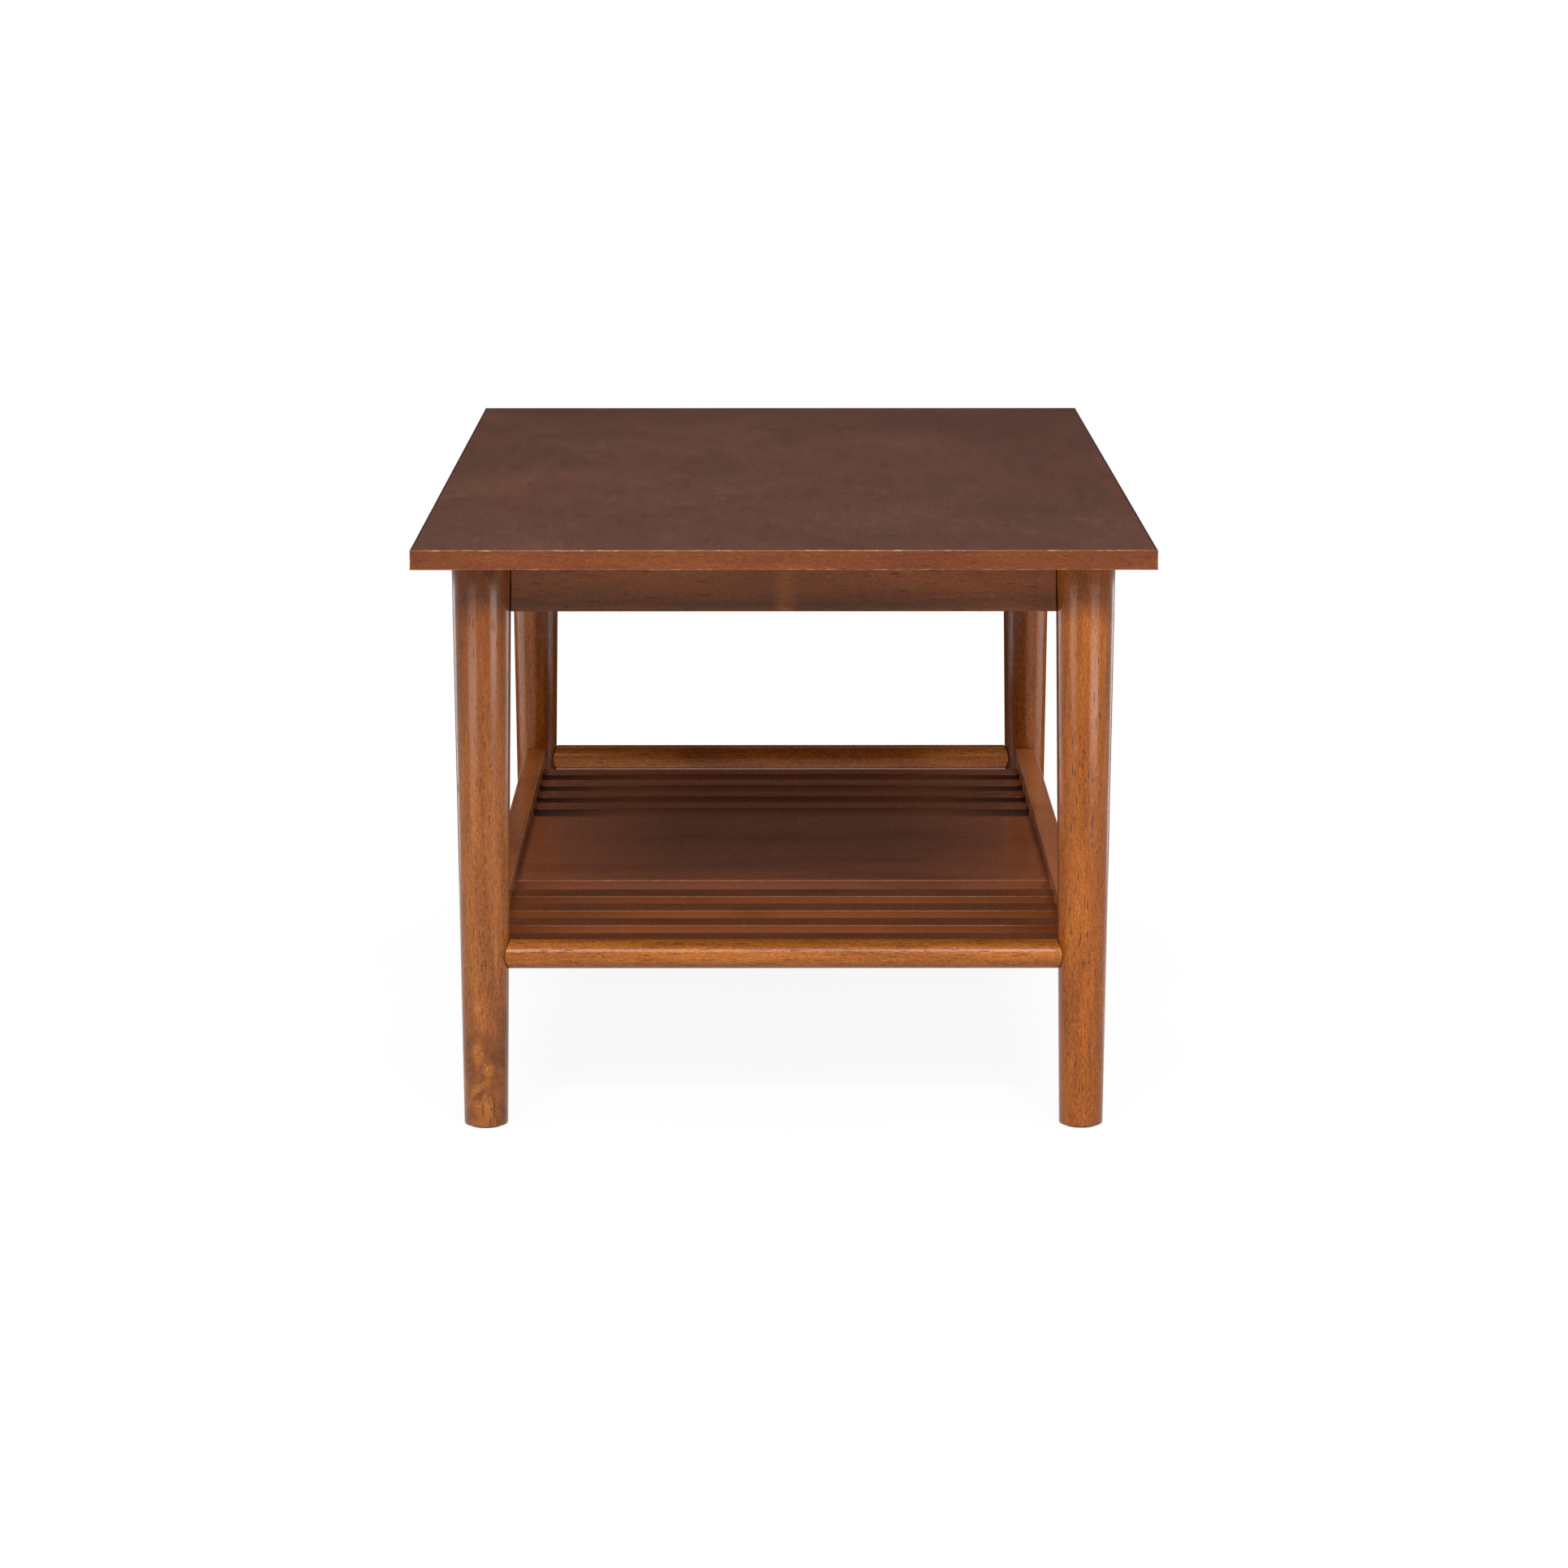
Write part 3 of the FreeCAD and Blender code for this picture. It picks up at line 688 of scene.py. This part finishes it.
def eased_strip(name, low, high, outer_axis, outer_side, material):
    """Edge band with the arrises of its outer face rounded over."""
    shape = bmesh.new()
    bmesh.ops.create_cube(shape, size=1.0)
    for vertex in shape.verts:
        vertex.co = [low[i] + (vertex.co[i] + 0.5) * (high[i] - low[i]) for i in range(3)]
    outer = high[outer_axis] if outer_side > 0 else low[outer_axis]
    outer_edges = [edge for edge in shape.edges
                   if all(abs(vertex.co[outer_axis] - outer) < same_place for vertex in edge.verts)]
    if outer_axis == 0:
        outer_edges = [edge for edge in outer_edges
                       if abs(edge.verts[0].co.y - edge.verts[1].co.y) > same_place]
    eased = bmesh.ops.bevel(shape, geom=outer_edges, offset=band_arris, segments=arris_steps, profile=0.5,
                            affect="EDGES")
    for face in eased["faces"]:
        face.smooth = True
    run_axis = 1 - outer_axis
    along = [0.0, 0.0, 0.0]
    along[run_axis] = 1.0
    for cut in (low[run_axis] + end_ring, high[run_axis] - end_ring):
        everything = shape.verts[:] + shape.edges[:] + shape.faces[:]
        cut_place = [cut * part for part in along]
        bmesh.ops.bisect_plane(shape, geom=everything, plane_co=cut_place, plane_no=along)
    return finished_mesh(name, shape, material)


def finished_mesh(name, shape, material):
    """Piece from a bmesh, faces outwards, with its rounded faces marked as arrises."""
    bmesh.ops.recalc_face_normals(shape, faces=shape.faces)
    squarest = [max(abs(part) for part in face.normal) for face in shape.faces]
    mesh = bpy.data.meshes.new(name)
    shape.to_mesh(mesh)
    shape.free()
    marks = mesh.attributes.new("arris", "FLOAT", "FACE")
    marks.data.foreach_set("value", [float(value < flat_normal) for value in squarest])
    mesh.materials.append(material)
    return in_scene(name, mesh)


# Pieces

def placed(piece, slot, *stood_for):
    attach(piece, "root")
    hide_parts(*stood_for)


def make_legs():
    plain = turned_leg_tree("turned_leg", leg_wood)
    shaded_back = turned_leg_tree("turned_shaded_back_leg", back_leg_wood)
    burled = turned_leg_tree("turned_burl_leg", burl_leg_wood)
    trees = {"leg_front_left": burled, "leg_front_right": plain,
             "leg_back_left": shaded_back, "leg_back_right": shaded_back}
    for end, end_sign in ends.items():
        for side, side_sign in sides.items():
            node = "leg_%s_%s" % (end, side)
            leg = grown("turned_" + node, trees[node], {
                "Axis": (side_sign * leg_x, end_sign * leg_y, 0.0), "Bottom": leg_bottom, "Top": underside,
                "Foot Radius": leg_foot_radius, "Top Radius": leg_top_radius, "Foot Round": leg_foot_round,
                "Sides": leg_sides, "Rings": leg_rings})
            placed(leg, "leg_wood", node)


def make_aprons():
    low, high = end_apron_box
    outer = -leg_y - low.y
    inner = -leg_y - high.y
    outline = rounded_outline((inner, low.z), (outer, high.z), apron_arris, apron_upper_arris)
    for end, sign in ends.items():
        node = "end_apron_" + end
        apron = coped_bar("coped_" + node, outline, True, sign, apron_joint_gap, end_apron_wood)
        placed(apron, "apron_wood", node)
    for side, sign in sides.items():
        node = "side_apron_" + side
        apron = coped_bar("coped_" + node, outline, False, sign, apron_joint_gap, side_apron_wood)
        placed(apron, "apron_wood", node)


def make_shelf_rails():
    outline = round_outline(end_rail_height, end_rail_radius)
    for end, sign in ends.items():
        node = "end_rail_" + end
        rail = coped_bar("coped_" + node, outline, True, sign, rail_joint_gap, end_rail_wood)
        placed(rail, "end_rail_wood", node)
    low, high = side_rail_box
    outline = rounded_outline((-side_rail_half, low.z), (side_rail_half, high.z),
                              side_rail_arris, side_rail_arris)
    for side, sign in sides.items():
        node = "side_rail_" + side
        rail = coped_bar("coped_" + node, outline, False, sign, rail_joint_gap, side_rail_woods[side])
        placed(rail, "side_rail_wood", node)


def make_shelf_boards():
    half_length = leg_x - side_rail_half - shelf_joint_gap
    middle = (panel_box[0].z + panel_box[1].z) / 2
    sizes = {"Thickness": slat_thickness, "Half Length": half_length, "Arris": slat_arris}
    step = slat_centres[1] - slat_centres[0]
    for end, sign in ends.items():
        slat_row = shelf_board_tree("slat_row_" + end, slat_woods[end])
        slats = grown("slat_row_" + end, slat_row, {
            "Count": len(slat_centres), "First": (0.0, sign * slat_centres[0], middle),
            "Step": (0.0, sign * step, 0.0), "Width": slat_width, "Seed": slat_seeds[end], **sizes})
        placed(slats, "shelf_wood", *["slat_%s_%d" % (end, number) for number in slat_numbers])
    panel = grown("centre_panel", shelf_board_tree("centre_panel", panel_wood), {
        "Count": 1, "First": (0.0, 0.0, middle), "Step": (0.0, 0.0, 0.0),
        "Width": panel_box[1].y - panel_box[0].y, "Seed": panel_seed, **sizes})
    placed(panel, "shelf_wood", "shelf_panel")


def make_edge_bands():
    for end, sign in ends.items():
        node = "end_band_" + end
        band = eased_strip("eased_" + node, *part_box(node), 1, sign, end_band_wood)
        placed(band, "edge_band", node)
    for side, sign in sides.items():
        node = "side_band_" + side
        band = eased_strip("eased_" + node, *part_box(node), 0, sign, side_band_wood)
        placed(band, "edge_band", node)


def repaint(material, *names):
    """Gives CAD pieces that keep their shape a finish."""
    for name in names:
        cad_nodes[name].data.materials.clear()
        cad_nodes[name].data.materials.append(material)


make_legs()
make_aprons()
make_shelf_rails()
make_shelf_boards()
make_edge_bands()
repaint(top_wood, "top_veneer")
repaint(core_board, "top_core")
repaint(backing_wood, "backing_veneer")
repaint(block_wood, *["corner_block_%s_%s" % (end, side) for end in ends for side in sides])
repaint(zinc_steel, "hanger_bolts", "bolt_washers", "bolt_nuts", "top_screws")
repaint(felt, "foot_glides")


# Studio

floor_reach = 120.0
backdrop_height = 4.0
shadow_near = 0.5
shadow_far = 1.8
shadow_share = 0.22
shadow_lift = 0.75
card_half_width = 1.8
card_near = 0.5
card_far = 3.4
card_height = 0.004


def white_floor():
    """Wide floor with a far, low backdrop round it, both white to the camera, in gloss and through glass.

    Near the table a share of the floor is plain, which keeps the table's soft shadow, and the rest is
    lifted to make up for it.
    """
    corners = [(-floor_reach, -floor_reach), (floor_reach, -floor_reach),
               (floor_reach, floor_reach), (-floor_reach, floor_reach)]
    mesh = bpy.data.meshes.new("studio_floor")
    mesh.from_pydata([(x, y, z) for z in (0.0, backdrop_height) for x, y in corners], [],
                     [(0, 1, 2, 3), (0, 4, 5, 1), (1, 5, 6, 2), (2, 6, 7, 3), (3, 7, 4, 0)])
    floor = in_scene("studio_floor", mesh)
    material = bpy.data.materials.new("white_floor")
    material.use_nodes = True
    tree = material.node_tree
    tree.nodes.clear()
    plain = add(tree, "ShaderNodeBsdfDiffuse", {"Color": (0.5, 0.5, 0.5, 1.0)}).outputs[0]
    away = add(tree, "ShaderNodeVectorMath", {0: object_place(tree)}, operation="LENGTH").outputs["Value"]
    share = between(tree, away, shadow_near, shadow_far, shadow_share, 0.0)
    strength = weighted(tree, (share, shadow_lift), (1.0, 1.0))
    white = add(tree, "ShaderNodeEmission", {"Strength": strength}).outputs[0]
    shown = add(tree, "ShaderNodeMixShader", {0: share, 1: white, 2: plain}).outputs[0]
    ray = add(tree, "ShaderNodeLightPath").outputs
    seen = maths(tree, "MAXIMUM", ray["Is Camera Ray"], ray["Is Glossy Ray"])
    seen = maths(tree, "MAXIMUM", seen, ray["Is Transmission Ray"])
    surface = add(tree, "ShaderNodeMixShader", {0: seen, 1: plain, 2: shown}).outputs[0]
    add(tree, "ShaderNodeOutputMaterial", {"Surface": surface})
    mesh.materials.append(material)


def dark_card():
    """Dark card on the floor behind the table, seen only in gloss, which keeps the legs' edges dark."""
    corners = [(-card_half_width, card_near), (card_half_width, card_near),
               (card_half_width, card_far), (-card_half_width, card_far)]
    mesh = bpy.data.meshes.new("dark_card")
    mesh.from_pydata([(x, y, card_height) for x, y in corners], [], [(0, 1, 2, 3)])
    card = in_scene("dark_card", mesh)
    material, _, shader = new_material("dark_card")
    shader.inputs["Base Color"].default_value = srgb(40, 34, 30)
    shader.inputs["Roughness"].default_value = 0.9
    shader.inputs["Specular IOR Level"].default_value = 0.0
    mesh.materials.append(material)
    card.visible_camera = False
    card.visible_diffuse = False
    card.visible_transmission = False
    card.visible_shadow = False


def softbox(name, place, aim, width, height, power, only_gloss=False, in_gloss=True):
    """Rectangular lamp, which may show only as a reflection in polished surfaces, or not in them."""
    lamp = bpy.data.lights.new(name, "AREA")
    lamp.shape = "RECTANGLE"
    lamp.size = width
    lamp.size_y = height
    lamp.energy = power
    holder = in_scene(name, lamp)
    holder.location = place
    holder.rotation_euler = (Vector(aim) - Vector(place)).to_track_quat("-Z", "Y").to_euler()
    holder.visible_diffuse = not only_gloss
    holder.visible_glossy = in_gloss


def gloss_strip(name, place, aim, width, height, power):
    softbox(name, place, aim, width, height, power, only_gloss=True)


def studio_world(ambient, in_gloss):
    """Even light from all round, dim where polished surfaces mirror it."""
    world = bpy.data.worlds.new("studio")
    world.use_nodes = True
    tree = world.node_tree
    ray = add(tree, "ShaderNodeLightPath").outputs
    strength = weighted(tree, (ray["Is Glossy Ray"], in_gloss - ambient), (1.0, ambient))
    background = tree.nodes["Background"]
    background.inputs["Color"].default_value = (1.0, 1.0, 1.0, 1.0)
    tree.links.new(strength, background.inputs["Strength"])
    bpy.context.scene.world = world


def photo_camera():
    """Camera a little above the table at its front end, at the photograph's viewing angle."""
    camera = bpy.data.cameras.new("photo_camera")
    camera.sensor_width = 36.0
    camera.lens = 125.53
    camera.clip_end = 300.0
    holder = in_scene("photo_camera", camera)
    holder.location = (-0.0117, -4.6134, 0.94918)
    holder.rotation_euler = (math.radians(90 - 9.37), 0, math.radians(-0.1665))
    bpy.context.scene.camera = holder


white_floor()
dark_card()
studio_world(ambient=0.25, in_gloss=0.03)
table_middle = (0.0, -0.1, 0.25)
front_legs = (0.0, -0.5, 0.13)
back_legs = (0.0, 0.42, 0.16)
back_shelf = (0.0, 0.3, 0.2)
gloss_strip("left_gloss_strip", (-0.98, -1.47, 0.13), front_legs, width=0.75, height=0.09, power=1.65)
gloss_strip("right_gloss_strip", (0.97, -1.48, 0.13), front_legs, width=0.75, height=0.09, power=2.5)
softbox("left_front_softbox", (-0.75, -3.1, 2.1), table_middle, width=1.1, height=0.7, power=54)
softbox("right_front_softbox", (0.75, -3.1, 2.1), table_middle, width=1.1, height=0.7, power=56)
softbox("overhead_softbox", (0.0, 0.2, 2.6), (0.0, 0.2, 0.0), width=3.2, height=2.6, power=32)
gloss_strip("left_side_gloss", (-0.95, 0.42, 0.16), back_legs, width=0.6, height=0.3, power=1.5)
gloss_strip("right_side_gloss", (0.95, 0.42, 0.16), back_legs, width=0.6, height=0.3, power=1.5)
softbox("left_back_softbox", (-2.0, 1.3, 0.8), back_shelf, width=1.6, height=1.4, power=11)
softbox("right_back_softbox", (2.0, 1.3, 0.8), back_shelf, width=1.6, height=1.4, power=11)
softbox("back_softbox", (0.0, 2.2, 1.15), (0.0, 0.3, 0.13), width=1.8, height=0.6, power=16, in_gloss=False)
photo_camera()
bpy.context.scene.view_settings.view_transform = "Standard"
